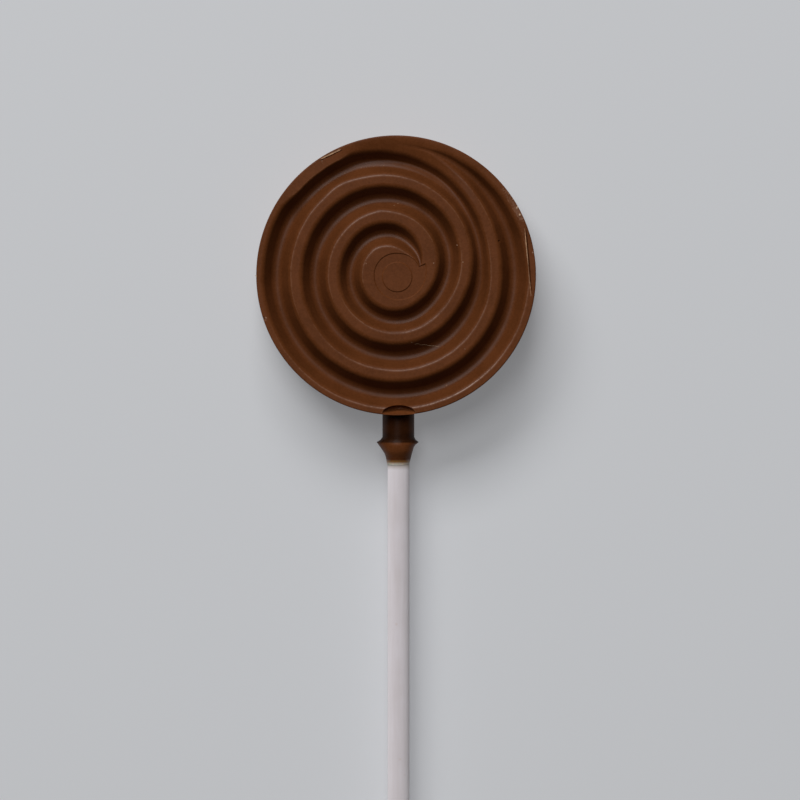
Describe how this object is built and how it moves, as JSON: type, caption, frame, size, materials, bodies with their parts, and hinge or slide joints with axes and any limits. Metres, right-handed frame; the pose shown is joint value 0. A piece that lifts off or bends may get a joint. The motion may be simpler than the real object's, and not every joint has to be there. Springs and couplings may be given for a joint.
{
  "type": "chocolate lollipop",
  "caption": "Round milk chocolate lollipop with a spiral groove on its face and a turned neck, on a straight white paper stick, lying on its flat back.",
  "frame": {"origin": "centre of the disc's flat back, on the surface it lies on", "axes": "+Z out of the spiral face, +Y from the stick towards the disc's far edge, +X to the right of the face"},
  "size_m": [0.056, 0.161, 0.014],
  "materials": {
    "milk_chocolate": "satin, moulded",
    "rolled_paper": "matt paper"
  },
  "bodies": {
    "root": {"chocolate": "milk_chocolate", "stick": "rolled_paper"}
  },
  "joints": []
}
